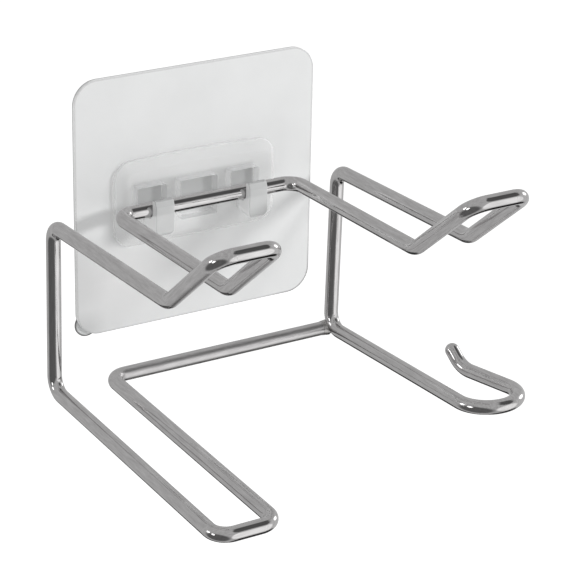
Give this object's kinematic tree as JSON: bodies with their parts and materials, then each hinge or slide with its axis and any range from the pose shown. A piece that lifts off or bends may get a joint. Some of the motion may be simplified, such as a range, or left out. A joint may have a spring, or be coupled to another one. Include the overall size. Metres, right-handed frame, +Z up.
{
  "type": "hair dryer holder",
  "caption": "Wall holder for a hair dryer: a bent steel wire cradle with a plug slot and a cord hook, hung in the clear hooks of a self-adhesive sheet.",
  "frame": {"origin": "centre of the sheet's back face, where it meets the wall", "axes": "+Y into the wall, +Z up, +X to the right of a person who faces the wall"},
  "size_m": [0.12, 0.1055, 0.0973],
  "materials": {
    "wire": "polished stainless steel wire",
    "clear_moulding": "clear moulded polycarbonate, glossy",
    "film": "clear, faintly milky vinyl film",
    "adhesive": "clear acrylic adhesive",
    "liner": "translucent release liner"
  },
  "bodies": {
    "root": {"release_liner": "liner", "adhesive_layer": "adhesive", "carrier_film": "film", "hook_plate": "clear_moulding"},
    "bar": {"top_bar": "wire"},
    "rack": {"left_leg": "wire", "left_outer_arm": "wire", "left_outer_lip": "wire", "left_lip_front": "wire", "left_inner_lip": "wire", "left_inner_arm": "wire", "right_leg": "wire", "right_outer_arm": "wire", "right_outer_lip": "wire", "right_lip_front": "wire", "right_inner_lip": "wire", "right_inner_arm": "wire", "cord_hook": "wire", "lower_arm": "wire", "cross_bar": "wire", "plug_slot_inner_arm": "wire", "plug_slot_front": "wire", "plug_slot_outer_arm": "wire", "weld_bead": "wire"}
  },
  "joints": [
    {"name": "lift_off", "type": "slide", "parent": "root", "child": "bar", "axis": [0, 0, 1], "range_m": [0, 0.011]},
    {"name": "tilt", "type": "hinge", "parent": "bar", "child": "rack", "pos_m": [0, -0.0084, 0], "axis": [-1, 0, 0], "range_deg": [0, 75]}
  ]
}
